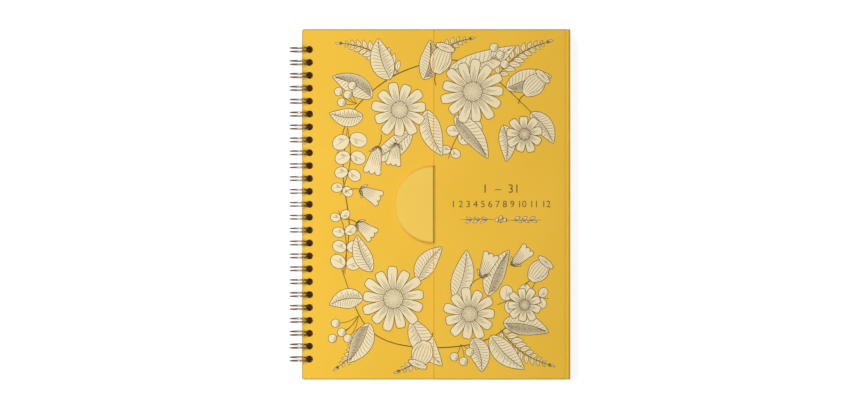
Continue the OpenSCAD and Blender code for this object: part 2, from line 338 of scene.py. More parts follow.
def rounded_outline(low, high, radius):
    """A rectangle with round corners, counter-clockwise from its lower right corner."""
    left, right = low[0] + radius, high[0] - radius
    foot, head = low[1] + radius, high[1] - radius
    corners = ((right, foot), (right, head), (left, head), (left, foot))
    return [point for n, corner in enumerate(corners)
            for point in arc(corner, radius, 90 * n - 90, 90 * n, CORNER_POINTS)]


def hole_outline(middle, radius):
    """A round hole, clockwise, so that the board lies on the same side as in an outline."""
    return arc(middle, radius, 0, -360, HOLE_POINTS + 1)[:-1]


def inward(loop):
    """The direction into the board at each point of a loop, long enough for an even inset."""
    directions = []
    for i, point in enumerate(loop):
        before = (point - loop[i - 1]).normalized()
        after = (loop[(i + 1) % len(loop)] - point).normalized()
        side = Vector((-before.y, before.x)) + Vector((-after.y, after.x))
        directions.append(side * (2 / side.length_squared))
    return directions


print("points round a hole:", len(hole_outline((0.0, 0.0), 1.0)))

# %% [markdown]
# ### Plates and sheets
# Rings of points follow a loop round the edge's quarter circles, from below to above. The rings
# also carry the edge mark of soil and painted shade, which is highest on the upright wall and fades
# out on the face. Punched holes keep a crisp rim. Paper without a board is a thin sheet whose upper
# face follows a line.

# %% Plates and sheets
EDGE_ROUND = 0.5 * MM
EDGE_REACH = 0.6 * MM
PUNCH_ROUND = 0.1 * MM
PUNCH_REACH = 0.1 * MM
FACE_WEAR_AND_SHADE = 0.5
SAME_PLACE = 0.001 * MM
ROUND_STEPS = 5


def edge_profile(low, high, radius, reach):
    """Inset, height and soil-and-shade mark of each ring round a board's edge, from below to above."""
    upper = [(radius + reach, high, 0.0)]
    for a in np.linspace(math.pi / 2, 0, ROUND_STEPS + 1):
        wear_and_painted_light = FACE_WEAR_AND_SHADE + (1 - FACE_WEAR_AND_SHADE) * math.cos(a)
        upper.append((radius * (1 - math.cos(a)), high - radius * (1 - math.sin(a)), wear_and_painted_light))
    lower = [(inset, low + high - height, wear_and_painted_light) for inset, height, wear_and_painted_light in upper]
    return lower + upper[::-1]


def side_shares(sides, x):
    """The shares of rounding and of soil with painted shade on the straight side at one X, all if it isn't
    listed.
    """
    return next((shares for place, *shares in sides if abs(x - place) < SAME_PLACE), (1.0, 1.0))


def add_ring(bm, points, wear_and_painted_light_values):
    """New points, each with its value of wear and painted light."""
    layers = bm.verts.layers.float
    wear_and_painted_light = layers.get("wear_and_painted_light") or layers.new("wear_and_painted_light")
    ring = [bm.verts.new(point) for point in points]
    for vertex, value in zip(ring, wear_and_painted_light_values):
        vertex[wear_and_painted_light] = value
    return ring


def join_rings(bm, rings):
    """Faces between rings of points that follow each other."""
    for ring, beyond in zip(rings, rings[1:]):
        for i in range(len(ring)):
            j = (i + 1) % len(ring)
            bm.faces.new((ring[i], ring[j], beyond[j], beyond[i]))


def add_plate(bm, loops, low, high, sides=()):
    """A board with rounded edges: the first loop is its outline, and the others are holes.

    sides lists the straight sides that differ: their X, share of rounding, and share of soil with painted
    shade."""
    caps = ([], [])
    for n, loop in enumerate(loops):
        shares = [side_shares(sides, point.x) for point in loop]
        ways = [Vector((way.x * share, way.y)) for way, (share, _) in zip(inward(loop), shares)]
        round_and_reach = (PUNCH_ROUND, PUNCH_REACH) if n else (EDGE_ROUND, EDGE_REACH)
        rings = []
        for inset, height, wear_and_shade in edge_profile(low, high, *round_and_reach):
            points = [(*(point + way * inset), height) for point, way in zip(loop, ways)]
            rings.append(add_ring(bm, points, [wear_and_shade * share for _, share in shares]))
        join_rings(bm, rings)
        for cap, ring in zip(caps, (rings[0], rings[-1])):
            cap.extend(bm.edges.get((ring[i - 1], ring[i])) for i in range(len(ring)))
    for cap in caps:
        bmesh.ops.triangle_fill(bm, use_beauty=True, edges=cap)


def add_sheet(bm, upper, thickness, y_low, y_high, painted_shade_line=None):
    """A thin paper strip along Y whose upper face follows a line of X and Z points.

    The painted shade line gives the painted shade at each of these points. The two ends of the strip are
    darkened too, with soil and painted shade."""
    section = list(upper) + [(x, z - thickness) for x, z in reversed(upper)]
    wear_and_shade = list(painted_shade_line or [0.0] * len(upper))
    wear_and_shade += wear_and_shade[::-1]
    rings = []
    for y, end in ((y_low, 1.0), (y_low + EDGE_REACH, 0.0),
                   (y_high - EDGE_REACH, 0.0), (y_high, 1.0)):
        points = [(x, y, z) for x, z in section]
        rings.append(add_ring(bm, points, [max(end, value) for value in wear_and_shade]))
    join_rings(bm, rings)
    for ring in (rings[0], rings[-1]):
        bm.faces.new(ring)


print("rings round a board's edge:", len(edge_profile(0.0, 1.0, EDGE_ROUND, EDGE_REACH)))

# %% [markdown]
# ### Front and back cover
# A finished plate becomes a piece that rides on a body of the frame, so it moves with that body's
# joint. The CAD node of the same paper is hidden then. Both covers are punched with the same holes.

# %% Covers
CORNER_R = 1.5 * MM
HOLE_D = 4.5 * MM
HOLE_INSET = 4.9 * MM
LOOP_COUNT = 25
NO_SIZE = 0.0001 * MM

hole_x = front_lo.x + HOLE_INSET
hole_rows = [(n - (LOOP_COUNT - 1) / 2) * HOLE_PITCH for n in range(LOOP_COUNT)]
binding_holes = [hole_outline((hole_x, y), HOLE_D / 2) for y in hole_rows]


def lay_piece(name, bm, place, finishes, body):
    """Turns a bmesh in the book frame into a piece that rides on a body, if one is named."""
    bmesh.ops.dissolve_degenerate(bm, dist=NO_SIZE, edges=bm.edges)
    mesh = bpy.data.meshes.new(name)
    bm.to_mesh(mesh)
    bm.free()
    mesh.transform(place)
    for finish in finishes:
        mesh.materials.append(finish)
    piece = add_object(name, mesh)
    if body:
        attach(piece, body)
    return piece


def lay_case(name, bm, place, finish, body):
    """A paper-covered piece: smooth round its edges, and flat on its faces."""
    bmesh.ops.recalc_face_normals(bm, faces=bm.faces)
    piece = lay_piece(name, bm, place, [finish], body)
    piece.data.shade_smooth()
    piece.modifiers.new("even_normals", "WEIGHTED_NORMAL")
    return piece


def make_front():
    bm = bmesh.new()
    outline = rounded_outline(front_lo, front_hi, CORNER_R)
    add_plate(bm, [outline] + binding_holes, front_lo.z, front_hi.z)
    piece = lay_case("front_case", bm, book, cover_finish, "front_cover")
    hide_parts("front_paper")
    return piece


def make_back():
    """The back cover, with the strip of paper that runs on to the fold at the fore edge."""
    bm = bmesh.new()
    outline = rounded_outline(back_lo, (back_right, back_hi.y), CORNER_R)
    add_plate(bm, [outline] + binding_holes, back_lo.z, back_hi.z)
    strip_z = back_lo.z + paper_t
    strip = [(back_right - EDGE_ROUND, strip_z), (fold_x, strip_z)]
    add_sheet(bm, strip, paper_t, back_lo.y, back_hi.y)
    piece = lay_case("back_case", bm, book, cover_finish, "back_cover")
    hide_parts("back_paper")
    return piece


cases = [make_front(), make_back()]
print("covers:", [(piece.name, len(piece.data.vertices)) for piece in cases])

# %% [markdown]
# ### Flap
# The flap's paper is pressed into a shallow groove where it meets the fore edge, so the plate ends
# flush there and a sheet goes on to the fold. On its free side the plate has a notch, which leaves
# room for the tab and the groove that the tab bends in.

# %% Flap
GROOVE_DEPTH = 0.28 * MM
GROOVE_SIDE = 0.7 * MM
GROOVE_CUTS = 5
RAMP_POINTS = 16
PAPER_SETBACK = 0.1 * MM
FOLD_SHADE_REACH = 2.0 * MM
FREE_EDGE_OUT = 0.9 * MM
FREE_EDGE_WEAR_AND_SHADE = 0.8
NOTCH_GAP = 0.15 * MM
TAB_GROOVE_SHIFT = 0.33 * MM

free_edge = flap_left - FREE_EDGE_OUT
groove_left = tab_right + TAB_GROOVE_SHIFT
groove_right = flap_left
foot_z = tab_fold.z + paper_t / 2


def groove_drop(x):
    """How far the pressed groove at the fore edge lowers the flap's face at one X."""
    start = flap_right - GROOVE_SIDE
    share = (x - start) / (fold_x - GROOVE_SIDE - start)
    return GROOVE_DEPTH * math.sin(math.pi * share) ** 2 if 0 < share < 1 else 0.0


def cut(bm, place, normal, clear=False):
    """Cuts along a plane, and clears what lies before it if that is asked for."""
    geometry = bm.verts[:] + bm.edges[:] + bm.faces[:]
    bmesh.ops.bisect_plane(bm, geom=geometry, plane_co=place, plane_no=normal, clear_outer=clear)


def flap_outline():
    corners = rounded_outline((free_edge, flap_lo.y), (flap_right, flap_hi.y), CORNER_R)
    notch_head = tab_hi.y + NOTCH_GAP
    notch_foot = tab_lo.y - NOTCH_GAP
    points = [(flap_right, flap_lo.y), (flap_right, flap_hi.y)]
    points += corners[2 * CORNER_POINTS:3 * CORNER_POINTS]
    points += [(free_edge, notch_head), (groove_right, notch_head),
               (groove_right, notch_foot), (free_edge, notch_foot)]
    return [Vector(point) for point in points + corners[3 * CORNER_POINTS:]]


def make_flap():
    """The flap: its board, the pressed groove at the fore edge, and the foot of the tab groove."""
    bm = bmesh.new()
    # The free edge takes a weaker mark of soil and painted shade, the fold side a full one without rounding.
    sides = ((flap_right, 0.0, 1.0), (free_edge, 1.0, FREE_EDGE_WEAR_AND_SHADE))
    add_plate(bm, [flap_outline()], flap_lo.z, flap_hi.z, sides)
    for x in np.linspace(flap_right - GROOVE_SIDE, flap_right, GROOVE_CUTS + 1)[:-1]:
        cut(bm, (x, 0, 0), (1, 0, 0))
    for vertex in bm.verts:
        if vertex.co.z > (flap_lo.z + flap_hi.z) / 2:
            vertex.co.z -= groove_drop(vertex.co.x)
    ramp = [(x, flap_hi.z - groove_drop(x)) for x in np.linspace(flap_right, fold_x, RAMP_POINTS)]
    # Painted shade darkens the paper over the last millimetres before the fold at the fore edge.
    fold_shade = [max(0.0, 1 - (fold_x - x) / FOLD_SHADE_REACH) for x, z in ramp]
    add_sheet(bm, ramp, paper_t, flap_lo.y + PAPER_SETBACK, flap_hi.y - PAPER_SETBACK, fold_shade)
    foot = [(tab_fold.x, foot_z), (groove_right + EDGE_ROUND, foot_z)]
    add_sheet(bm, foot, paper_t, tab_lo.y, tab_hi.y)
    piece = lay_case("flap_case", bm, book, cover_finish, "flap")
    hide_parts("flap_paper")
    return piece


cases.append(make_flap())
print("tab groove from", round(groove_left / MM, 2), "to", round(groove_right / MM, 2), "mm")

# %% [markdown]
# ### Fore edge and tab
# The fore-edge strip stands upright, so it is built flat and turned. The tab is a half disc whose
# straight side lies in the tab's groove.

# %% Fore edge and tab
FOLD_TIGHT = 0.25
TAB_FOOT_GAP = 0.15 * MM
TAB_POINTS = 49


def make_edge():
    bm = bmesh.new()
    half = (edge_hi.z - edge_lo.z) / 2
    outline = rounded_outline((-half, edge_lo.y), (half, edge_hi.y), CORNER_R)
    add_plate(bm, [outline], 0.0, edge_hi.x - edge_lo.x)
    stand = Matrix.Translation((edge_lo.x, 0, (edge_lo.z + edge_hi.z) / 2))
    stand = stand @ Matrix.Rotation(math.pi / 2, 4, "Y")
    piece = lay_case("edge_case", bm, book @ stand, cover_finish, "fore_edge")
    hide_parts("edge_paper")
    return piece


def make_tab():
    bm = bmesh.new()
    radius = (tab_hi.y - tab_lo.y) / 2
    outline = arc((tab_right, 0), radius, 90, 270, TAB_POINTS)
    outline += [Vector((groove_left, -radius)), Vector((groove_left, radius))]
    add_plate(bm, [outline], tab_lo.z, tab_hi.z, ((groove_left, FOLD_TIGHT, 0.0),))
    foot = [(tab_right - EDGE_ROUND, foot_z), (tab_fold.x - TAB_FOOT_GAP, foot_z)]
    add_sheet(bm, foot, paper_t, tab_lo.y, tab_hi.y)
    piece = lay_case("tab_case", bm, book, tab_sheen_finish, "tab")
    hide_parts("tab_paper")
    return piece


cases += [make_edge(), make_tab()]
print("tab in mm:", [round(size / MM, 1) for size in tab_hi - tab_lo])

# %% [markdown]
# ### The tab's hinge
# One strip of paper lies pressed into the tab's groove, darkened by painted shade that grows
# towards the flap. It bends when the tab is lifted: its right side follows the flap, its left side
# follows the tab, and the points between are blended.

# %% Tab hinge
HINGE_REACH = 0.15 * MM
HINGE_TOP = 0.3 * MM
HINGE_DEPTH = 0.75 * MM
HINGE_PAINTED_SHADE = (0.5, 1.0)
HINGE_POINTS = 13


def make_tab_hinge():
    bm = bmesh.new()
    left = groove_left - HINGE_REACH
    right = groove_right + HINGE_REACH
    dip = []
    for share in np.linspace(0, 1, HINGE_POINTS):
        drop = HINGE_TOP + (HINGE_DEPTH - HINGE_TOP) * math.sin(math.pi * share)
        dip.append((left + (right - left) * share, tab_hi.z - drop))
    # The strip's painted shade grows from the tab's side to the flap's.
    painted_shade_line = np.linspace(*HINGE_PAINTED_SHADE, HINGE_POINTS).tolist()
    add_sheet(bm, dip, paper_t, tab_lo.y + PAPER_SETBACK, tab_hi.y - PAPER_SETBACK, painted_shade_line)
    piece = lay_case("tab_hinge", bm, book, cover_finish, None)
    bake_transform(piece, "flap", "tab", start=book @ Vector((right, 0, tab_hi.z)),
             end=book @ Vector((left, 0, tab_hi.z)))
    return piece


cases.append(make_tab_hinge())
print("cases:", [(piece.name, len(piece.data.vertices)) for piece in cases])

# %% [markdown]
# ## The CAD nodes that stay
# Boards, linings, magnets and leaves have the right shape already, so they only take finishes.

# %% Finishes of the CAD nodes
node_finish = {"board": board_finish, "lining": lining_finish, "magnet": magnet_finish}
kept = []
for name, node in frame["nodes"].items():
    is_leaf = name.startswith("month_leaf")
    finish = leaf_finish if is_leaf else node_finish.get(name.split("_")[-1])
    if finish:
        node.data.materials.clear()
        node.data.materials.append(finish)
        kept.append(name)
print("CAD nodes with new finishes:", len(kept))

# %% [markdown]
# ## The twin-loop wire
# One wire makes all the loops. It runs round a loop, turns back at a round tip, runs round again
# beside itself, and then bends into a short link to the next loop. Unrolled, it is a square wave
# with round corners, so it is drawn flat first and then wrapped round the loop's cylinder. A curve
# with a round bevel makes the tube, and it becomes a mesh at the end.

# %% Wire
WIRE_D = 1.0 * MM
STRAND_PITCH = 2.3 * MM
LINK_BEND = 1.2 * MM
SEAM_GAP = 0.55 * MM
TIP_ANGLE = 272.0
# Where round the loop the painted highlight sits, and how far it fades, in degrees.
HIGHLIGHT_ANGLE = 88.0
HIGHLIGHT_REACH = 19.0
STRAND_STEPS = 44
BEND_STEPS = 7
TUBE_STEPS = 4

ring_r = -span("binding_wire")[0].x - WIRE_D / 2
tip_r = STRAND_PITCH / 2
bend_sum = tip_r + LINK_BEND
seam = math.sqrt((bend_sum + WIRE_D + SEAM_GAP) ** 2 - bend_sum ** 2)
run_top = math.radians(TIP_ANGLE) * ring_r
run_foot = run_top - 2 * math.pi * ring_r + seam


def unrolled_loop(y):
    """One double loop on the unrolled cylinder: pairs of run round the loop and place along it."""
    half = [(run_foot - LINK_BEND * math.sin(a), tip_r + LINK_BEND * (1 - math.cos(a)))
            for a in np.linspace(math.pi / 2, 0, BEND_STEPS)]
    half += [(run, tip_r) for run in np.linspace(run_foot, run_top, STRAND_STEPS)[1:]]
    tip = [(run_top + tip_r * math.sin(a), -tip_r * math.cos(a))
           for a in np.linspace(0, math.pi, 2 * BEND_STEPS)[1:-1]]
    return [(run, y - off) for run, off in half] + [(run, y + off) for run, off in tip + half[::-1]]


def wrapped(run, y):
    a = run / ring_r
    return book @ Vector((ring_r * math.cos(a), y, ring_r * math.sin(a)))


def rub_loops(mesh):
    """Marks the tops of the loops for a painted highlight, as a share that fades round the loop."""
    wear_and_painted_light = mesh.attributes.new("wear_and_painted_light", "FLOAT", "POINT")
    for vertex, value in zip(mesh.vertices, wear_and_painted_light.data):
        at = level @ vertex.co
        off = math.degrees(math.atan2(at.z, at.x)) - HIGHLIGHT_ANGLE
        value.value = max(0.0, 1.0 - (off / HIGHLIGHT_REACH) ** 2)


def curve_mesh(curve):
    """The mesh of a curve, without materials. The curve is removed."""
    item = add_object(curve.name, curve)
    shape = item.evaluated_get(bpy.context.evaluated_depsgraph_get())
    mesh = bpy.data.meshes.new_from_object(shape)
    bpy.data.objects.remove(item)
    bpy.data.curves.remove(curve)
    mesh.materials.clear()
    return mesh


def make_wire():
    flat = [point for y in hole_rows for point in unrolled_loop(y)]
    flat = flat[BEND_STEPS - 1:1 - BEND_STEPS]
    curve = bpy.data.curves.new("wire_path", "CURVE")
    curve.dimensions = "3D"
    curve.bevel_depth = WIRE_D / 2
    curve.bevel_resolution = TUBE_STEPS
    curve.use_fill_caps = True
    spline = curve.splines.new("POLY")
    spline.points.add(len(flat) - 1)
    for point, (run, y) in zip(spline.points, flat):
        point.co = (*wrapped(run, y), 1.0)
    mesh = curve_mesh(curve)
    mesh.materials.append(bronze_finish)
    rub_loops(mesh)
    mesh.shade_smooth()
    piece = add_object("twin_loop_wire", mesh)
    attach(piece, "back_cover")
    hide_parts("binding_wire")
    return piece


wire = make_wire()
print("wire:", len(wire.data.vertices), "points")

# %% [markdown]
# ## The print: pen and two inks
# The covers carry a botanical print in the old engraver's manner: cream shapes under thin brown pen
# lines. An image would be the usual way, but drawn shapes stay sharp at any size, so the garland is
# a drawing in code. Its points are complex numbers in millimetres, because a product of two of them
# is a turn, and that keeps the drawing of leaves and petals short. Each mark is a flat shape of ink
# that lies a few thousandths of a millimetre over the mark before it.

# %% Pen and ink
PEN = 0.4
LAYER = 0.002 * MM
PEN_LIFT = 0.001 * MM
PRINT_LIFT = 0.004 * MM
CREAM_INK = 0
PEN_INK = 1


class Drawing:
    """Marks in painting order: an ink, a list of polygons and a layer."""

    def __init__(self):
        self.marks = []
        self.layer = 0

    def lift(self):
        self.layer += 1

    def side_by_side(self, draw, places):
        """Draws one motif at places that don't overlap, so all start on the same layer."""
        base = top = self.layer
        for place in places:
            self.layer = base
            draw(self, *place)
            top = max(top, self.layer)
        self.layer = top

    def fill(self, outline, ink=CREAM_INK):
        self.marks.append((ink, [list(outline)], self.layer))

    def dot(self, middle, radius):
        self.fill(circle(middle, radius, 60), PEN_INK)

    def line(self, points, width=1.0, ends=0.4):
        """A pen stroke that is thinner at its ends. Its width is a share of the pen's."""
        points = np.asarray(points)
        along = np.linspace(0, 1, len(points))
        bulge = np.sqrt(np.sin(np.pi * along).clip(0))
        left, right = blade_sides(points, width * PEN / 2 * (ends + (1 - ends) * bulge))
        quads = [[left[i], right[i], right[i + 1], left[i + 1]] for i in range(len(points) - 1)]
        self.marks.append((PEN_INK, quads, self.layer))

    def contour(self, outline, width=1.0):
        """A fill with an even pen line round it."""
        self.fill(outline)
        self.line([*outline, outline[0], outline[1]], width, 1.0)


def turn(degrees):
    return complex(math.cos(math.radians(degrees)), math.sin(math.radians(degrees)))


def circle(middle, radius, step):
    return [middle + radius * turn(a) for a in range(0, 360, step)]


def bowed(base, tip, bow, count):
    """Points from base to tip on a line that bows to its left."""
    t = np.linspace(0, 1, count)
    axis = tip - base
    return base + axis * t + 1j * axis / abs(axis) * bow * np.sin(np.pi * t)


def smooth_line(points, count=12):
    """A smooth line through points: each stretch is a cubic that meets its neighbours' slopes."""
    ends = [2 * points[0] - points[1], *points, 2 * points[-1] - points[-2]]
    line = []
    for a, b, c, d in zip(ends, ends[1:], ends[2:], ends[3:]):
        for t in np.linspace(0, 1, count, endpoint=False):
            line.append(0.5 * (2 * b + (c - a) * t + (2 * a - 5 * b + 4 * c - d) * t ** 2
                               + (3 * b - a - 3 * c + d) * t ** 3))
    return line + [points[-1]]


def blade_sides(middle, half):
    """The two sides of a leaf or a stroke from its middle line and its half width along it."""
    run = np.gradient(middle)
    side = 1j * run / np.abs(run) * half
    return middle + side, middle - side


print("pen width in mm:", PEN)

# %% [markdown]
# ### Leaves
# A leaf is a middle line with a width along it. Its side veins run forward from the middle line,
# and one half is hatched more closely, which reads as shade.

# %% Leaves
LEAF_STEPS = 56
VEIN_REACH = 6
LEAFLET_POINTS = 12


def draw_leaf(drawing, base, tip, width, bow=0.0, hatched=False):
    """A broad leaf with straight side veins, shaded on one half, or hatched closely on it."""
    middle = bowed(base, tip, bow, LEAF_STEPS + 1)
    t = np.linspace(0, 1, LEAF_STEPS + 1)
    left, right = blade_sides(middle, width / 2 * np.sin(np.pi * t ** 0.8).clip(0) ** 0.8)

    def vein(i, side, share, bend, pen, count=6):
        reach = share * (side[i + VEIN_REACH] - middle[i])
        drawing.line(bowed(middle[i], middle[i] + reach, bend, count), pen)

    drawing.lift()
    drawing.contour([*left, *right[-2:0:-1]])
    drawing.line(middle[:-2], 1.1, 0.5)
    for i in range(3, LEAF_STEPS - VEIN_REACH - 2, 4):
        vein(i, left, 0.9, -0.4, 0.6)
        vein(i, right, 0.92 if i % 8 == 3 else 0.66, 0.4, 0.7)
        vein(i + 2, right, 0.5, 0.3, 0.5, 5)
    for i in range(2, LEAF_STEPS - VEIN_REACH - 1) if hatched else ():
        vein(i, right, 0.95, 0.4, 0.6)


def draw_leaflet(drawing, base, tip, width):
    """A small plain leaf with one vein."""
    middle = bowed(base, tip, 0.06 * abs(tip - base), LEAFLET_POINTS)
    t = np.linspace(0, 1, LEAFLET_POINTS)
    left, right = blade_sides(middle, width / 2 * np.sin(np.pi * t ** 0.85).clip(0))
    drawing.contour([*left, *right[-2:0:-1]], 0.85)
    drawing.line(middle[:9], 0.6)


def count_marks(draw, *place):
    """How many marks one motif takes."""
    sample = Drawing()
    draw(sample, *place)
    return len(sample.marks)


print("marks in a leaf:", count_marks(draw_leaf, 0j, 20 + 0j, 9.0))

# %% [markdown]
# ### Ferns and sprigs
# Both repeat a small leaf in pairs along a bowed stem, and both get smaller towards the tip.

# %% Ferns and sprigs
FERN_ANGLE = 58
COIN_ANGLE = 64
COIN_POINTS = 28


def draw_stem(drawing, base, tip, bow, steps, width, ends):
    """A bowed stem. It gives the stem's points and the way on at each of them."""
    stem = bowed(base, tip, bow, steps + 1)
    run = np.gradient(stem)
    drawing.lift()
    drawing.line(stem, width, ends)
    return stem, run / np.abs(run)


def draw_fern(drawing, base, tip, bow, pairs, longest):
    """A frond: pairs of leaflets that shorten towards its tip."""
    steps = 4 * pairs
    stem, ways = draw_stem(drawing, base, tip, bow, steps, 1.4, 0.5)
    for i in range(2, steps, 4):
        share = i / steps
        size = longest * (1 - share) ** 0.7 * min(1.0, 0.55 + 2 * share)
        for side in (FERN_ANGLE, -FERN_ANGLE):
            out = stem[i] + ways[i] * turn(side - side * 0.25 * share) * size
            draw_leaflet(drawing, stem[i], out, 0.36 * size + 0.6)
    draw_leaflet(drawing, stem[-3], stem[-1] + (stem[-1] - stem[-3]), 1.6)


def draw_coin_sprig(drawing, base, tip, bow, pairs, size):
    """A sprig with round, coin-like leaves in pairs."""
    steps = 6 * pairs
    stem, ways = draw_stem(drawing, base, tip, bow, steps, 1.3, 0.6)
    for i in range(3, steps + 1, 6):
        across = size * (1 - 0.45 * i / steps)
        for side in (COIN_ANGLE, -COIN_ANGLE):
            way = ways[i] * turn(side) * across
            middle = stem[i] + way * 0.62
            disc = [middle + way * 0.56 * complex(math.cos(a), 0.84 * math.sin(a))
                    for a in np.linspace(0, 2 * np.pi, COIN_POINTS, endpoint=False)]
            drawing.lift()
            drawing.contour(disc, 0.9)
            drawing.line([stem[i], middle, middle + way * 0.4], 0.6)
            for lag in (0.14, 0.28, 0.42):
                start = middle + way * complex(-0.36 + lag * 0.5, -0.05)
                stop = start + way * complex(0.22, -0.3 + lag * 0.2)
                drawing.line(bowed(start, stop, 0.2, 5), 0.5)


print("marks in a fern:", count_marks(draw_fern, 0j, 40 + 0j, 4, 10, 11))

# %% [markdown]
# ### Daisies
# A daisy is a ring of petals, each laid over the one before, round a disc of dots. The dots follow
# the spiral of a real flower head: each is turned by the golden angle from the last.

# %% Daisies
GOLDEN_ANGLE = 137.508
HEART = 0.29
DOTS_PER_MM = 22
PETAL_LINES = ((-0.5, 9), (-0.2, 13), (0.12, 15), (0.42, 10))


def draw_petal(drawing, base, tip, width):
    """A petal with a blunt, slightly notched tip and fine lines from its base."""
    t = np.linspace(0, 1, 21)
    middle = bowed(base, tip, 0.03 * abs(tip - base), len(t))
    left, right = blade_sides(middle, width / 2 * (0.3 + 0.7 * t ** 0.6) * np.sqrt(1 - t ** 7))
    notch = tip - 0.035 * (tip - base)
    drawing.lift()
    drawing.contour([*left[:-1], notch, *right[-2::-1]])
    for share, reach in PETAL_LINES:
        drawing.line((middle + (left - middle) * share)[1:reach], 0.55, 0.3)


def draw_daisy(drawing, middle, radius, petals, tilt=0.0):
    """A daisy seen from the front."""
    heart = HEART * radius
    width = 2 * np.pi * radius * 0.74 / petals
    for i in range(petals):
        way = turn(tilt + 360 * i / petals)
        length = radius * (1.0 if i % 2 else 0.93)
        draw_petal(drawing, middle + way * heart * 0.8, middle + way * length, width)
    drawing.lift()
    drawing.contour(circle(middle, heart, 12))
    dots = int(DOTS_PER_MM * heart)
    for i in range(dots):
        out = heart * 0.94 * math.sqrt((i + 0.5) / dots)
        drawing.dot(middle + out * turn(GOLDEN_ANGLE * i), 0.17 + 0.16 * out / heart)
    for i in range(petals * 3):
        way = turn(360 * i / (petals * 3)) * heart
        drawing.line([middle + way * 1.04, middle + way * (1.2 + 0.12 * (i % 2))], 0.6)


print("marks in a daisy:", count_marks(draw_daisy, 0j, 20, 11))

# %% [markdown]
# ### Bells, pods and berries
# These fill the wreath between the daisies. Each hangs on a bowed stalk, and ribs, dots or
# crescents shade one side of it.

# %% Bells, pods and berries
BELL_RIBS = (-0.72, -0.4, -0.1, 0.2, 0.5, 0.78)
BELL_LOBES = 3
POD_RIBS = (-0.74, -0.46, -0.16, 0.16, 0.46, 0.74)
POD_DOTS = 34
CRESCENTS = (0.82, 0.62, 0.42)


def draw_stalk(drawing, start, stop, bow, count, width, ends=0.7):
    """A stalk that bows by a share of its length."""
    drawing.line(bowed(start, stop, bow * abs(stop - start), count), width, ends)


def half_across(base, top, width):
    """Half the width of a shape, at a right angle to its axis."""
    return 1j * (top - base) / abs(top - base) * width / 2


def draw_bell(drawing, stem_from, neck, mouth, width):
    """A hanging bell flower with three lobes at its mouth."""
    axis = mouth - neck
    across = half_across(neck, mouth, width)
    t = np.linspace(0, 1, 14)
    flare = across * (0.25 + 0.55 * np.sin(np.pi * t / 2) ** 0.6 + 0.2 * t ** 5)
    middle = neck + axis * t
    lobes = []
    for lobe in range(BELL_LOBES):
        for a in np.linspace(0, np.pi, 8)[:-1]:
            share = 1 - 2 * (lobe + (1 - math.cos(a)) / 2) / BELL_LOBES
            lobes.append(mouth + across * share + axis * 0.13 * math.sin(a))
    drawing.lift()
    draw_stalk(drawing, stem_from, neck, 0.1, 12, 1.2)
    drawing.contour([*(middle + flare), *lobes, *(middle - flare)[::-1]])
    for share in BELL_RIBS:
        reach = 9 + int(3 * abs(math.sin(9 * share)))
        drawing.line((middle + flare * share)[:reach], 0.55)
    for side in (-1, 1):
        draw_leaflet(drawing, neck, neck + axis * 0.28 + across * 0.9 * side, 1.7)


def draw_pod(drawing, stem_from, base, top, width):
    """A poppy's seed head: a ribbed urn under a scalloped cap."""
    axis = top - base
    across = half_across(base, top, width)

    def urn(t, side):
        """Points at a height on the urn, out to one side by a share of its half width."""
        return base + axis * t + across * np.sin(np.pi * (0.08 + 0.8 * t)) ** 0.8 * side

    def rim(a):
        return across * math.cos(a) * 0.86 + axis * 0.13 * math.sin(a)

    t = np.linspace(0, 1, 20)
    drawing.lift()
    draw_stalk(drawing, stem_from, base, 0.12, 16, 1.5, 0.8)
    drawing.contour([*urn(t, 1), *urn(t, -1)[::-1]])
    for share in POD_RIBS:
        drawing.line(urn(t, share)[2:-1], 0.6)
    for i in range(POD_DOTS):
        drawing.dot(urn(0.14 + 0.7 * ((i * 0.618) % 1), -0.92 + 0.5 * ((i * 0.381) % 1)), 0.18)
    drawing.lift()
    drawing.contour([top + rim(a) * (1 + 0.12 * abs(math.sin(4 * a)))
                     for a in np.linspace(0, 2 * np.pi, 48, endpoint=False)])
    for a in np.linspace(0, 2 * np.pi, 12, endpoint=False):
        drawing.line([top, top + 0.8 * rim(a)], 0.6)


def draw_berries(drawing, fork, spots, radius):
    """Round berries on thin stalks, with crescents of shade."""
    drawing.lift()
    for spot in spots:
        draw_stalk(drawing, fork, spot, 0.1, 10, 0.9)
    drawing.lift()
    for spot in spots:
        drawing.contour(circle(spot, radius, 15), 0.9)
        for lag in CRESCENTS:
            drawing.line([spot + radius * lag * turn(a) for a in range(-80, 41, 12)], 0.5)
        drawing.dot(spot + radius * 0.45 * turn(130), 0.22)


print("marks in a pod:", count_marks(draw_pod, 0j, 6 + 0j, 20 + 0j, 13))

# %% [markdown]
# ### The garland
# The parts are set out as a wreath of field flowers round the label. Places are in millimetres on
# the cover: across from the bound edge, and up from its middle. What is drawn first lies lowest.

